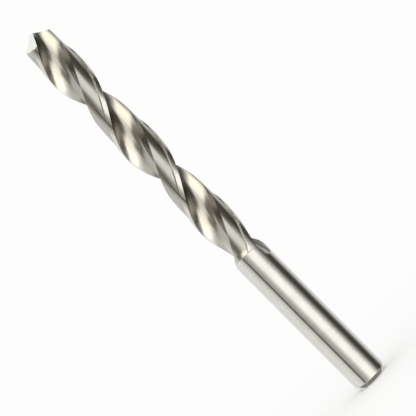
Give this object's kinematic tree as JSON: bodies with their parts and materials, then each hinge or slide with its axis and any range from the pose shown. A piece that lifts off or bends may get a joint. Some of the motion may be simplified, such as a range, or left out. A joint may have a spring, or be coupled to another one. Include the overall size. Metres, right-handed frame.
{
  "type": "twist drill bit",
  "caption": "Straight-shank twist drill with helical flutes, narrow ground margins and a conical point, standing on the end of its shank.",
  "frame": {"origin": "centre of the flat end of the shank", "axes": "+Z along the drill's axis from the shank's end to the point; the two lips lie along X"},
  "size_m": [0.012, 0.012, 0.151],
  "materials": {
    "ground_steel": "bright ground and polished"
  },
  "bodies": {
    "root": {"drill_bit": "ground_steel"}
  },
  "joints": []
}
